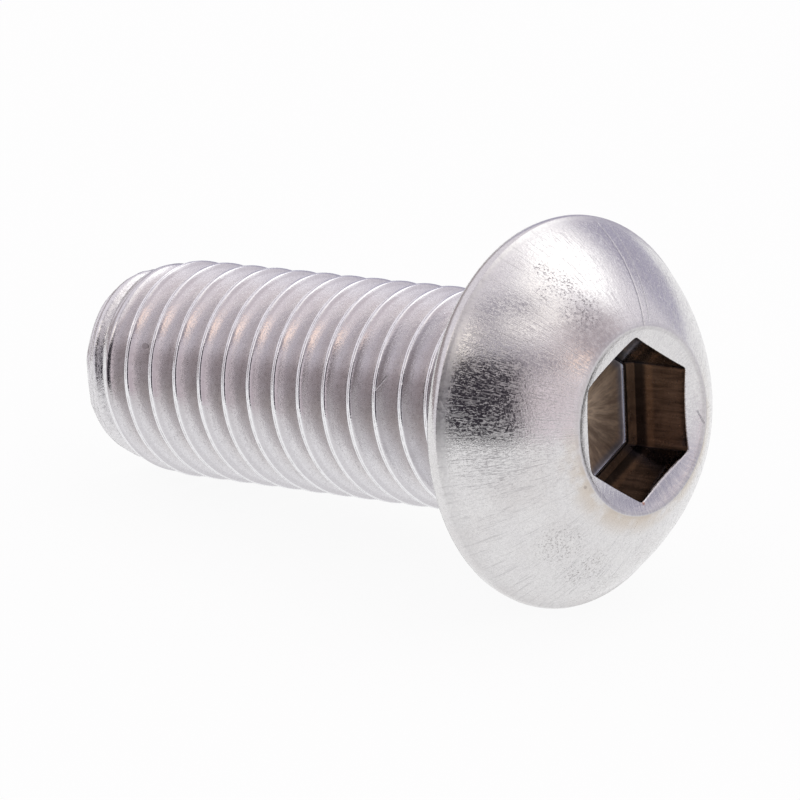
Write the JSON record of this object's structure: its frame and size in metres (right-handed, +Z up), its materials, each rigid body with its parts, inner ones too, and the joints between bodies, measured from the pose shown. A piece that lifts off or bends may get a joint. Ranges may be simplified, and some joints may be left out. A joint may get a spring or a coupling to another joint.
{
  "type": "button head screw",
  "caption": "Button head screw lying on its side: low domed head with a hexagon socket, plain neck and a full-length rolled metric thread.",
  "frame": {"origin": "on the floor under the middle of the lying screw's bounding box", "axes": "+Z up; +X along the floor from the thread tip towards the head; the screw's own axis rises 8.9 degrees from +X"},
  "size_m": [0.0252, 0.0136, 0.0135],
  "materials": {
    "stainless_steel": "satin"
  },
  "bodies": {
    "root": {"screw": "stainless_steel"}
  },
  "joints": []
}
